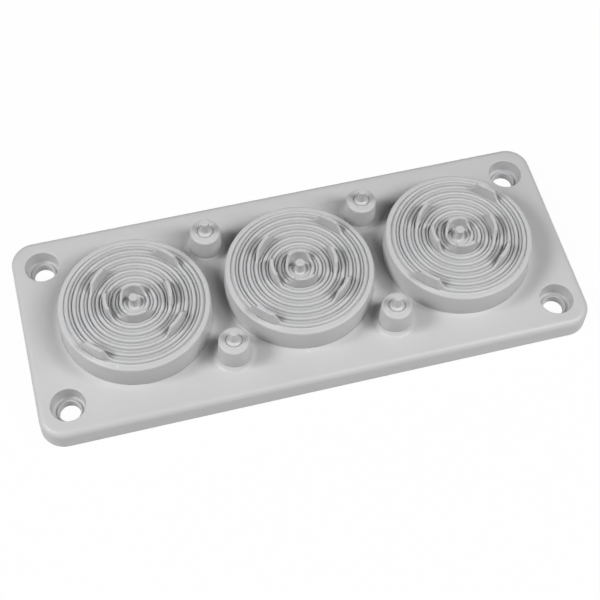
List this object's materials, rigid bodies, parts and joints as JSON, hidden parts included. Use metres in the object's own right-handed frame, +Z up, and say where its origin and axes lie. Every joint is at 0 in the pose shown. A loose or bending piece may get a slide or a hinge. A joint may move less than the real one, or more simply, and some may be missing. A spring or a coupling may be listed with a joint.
{
  "type": "cable entry flange plate with tear-out membranes",
  "caption": "Rectangular soft elastomer cable entry plate with large stepped ring membranes, small pin domes and counterbored corner screw holes.",
  "frame": {"origin": "middle of the flange's flat underside", "axes": "+X along the flange's length through the three membranes, +Y across its width to the rear edge, +Z up out of the enclosure through the membranes"},
  "size_m": [0.22, 0.0882, 0.0271],
  "materials": {
    "grey_elastomer": "satin"
  },
  "bodies": {
    "root": {"cable_entry_plate": "grey_elastomer"}
  },
  "joints": []
}
